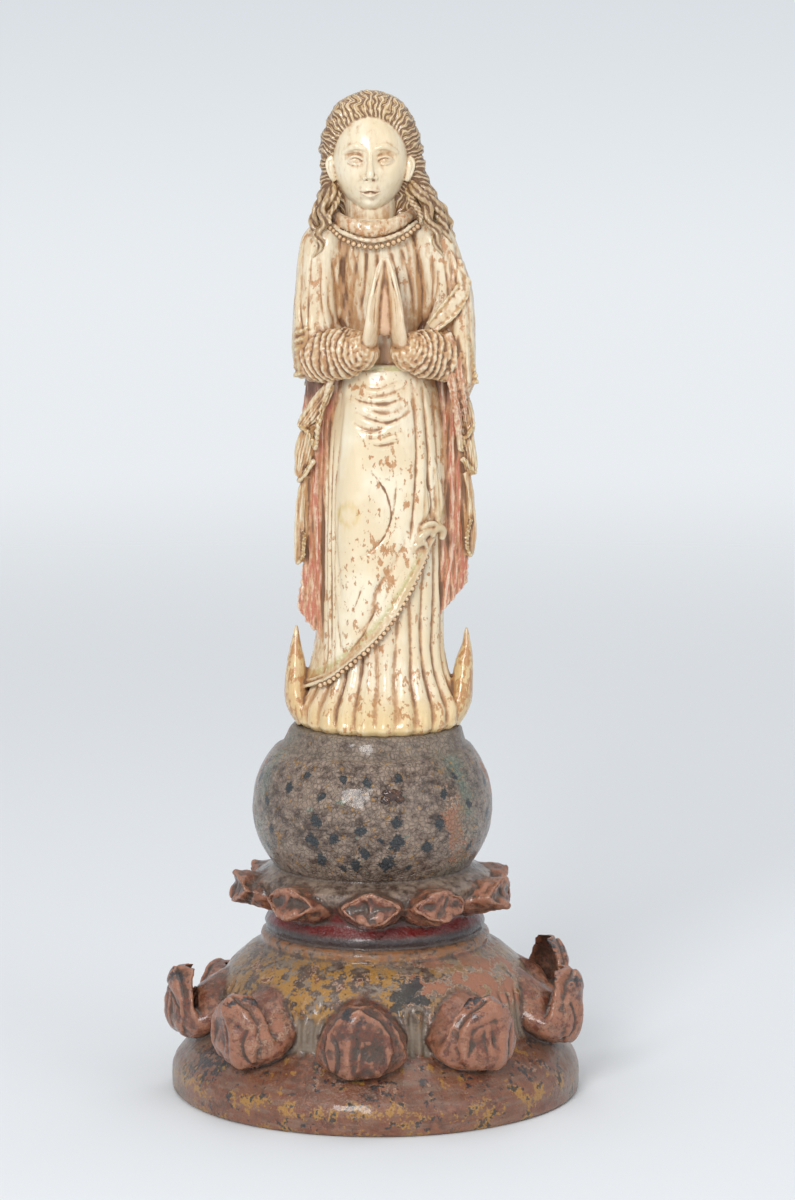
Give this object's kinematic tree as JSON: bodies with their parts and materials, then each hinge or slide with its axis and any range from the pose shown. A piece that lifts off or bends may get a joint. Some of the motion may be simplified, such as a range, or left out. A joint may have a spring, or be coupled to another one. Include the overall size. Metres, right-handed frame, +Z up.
{
  "type": "devotional statuette",
  "caption": "Small carved ivory lady at prayer on a crescent moon, standing loose on a turned and carved wooden pedestal with a globe, a petal collar and a lotus foot.",
  "frame": {"origin": "centre of the pedestal's flat underside, on the floor", "axes": "+Z up, the figure faces -Y, +X to the viewer's right"},
  "size_m": [0.1205, 0.1207, 0.29],
  "materials": {
    "painted_wood": "old paint and gesso on carved wood, worn and dusty",
    "ivory": "polished old ivory with traces of paint and brown dirt in the recesses"
  },
  "bodies": {
    "root": {"pedestal": "painted_wood", "figure": "ivory"}
  },
  "joints": []
}
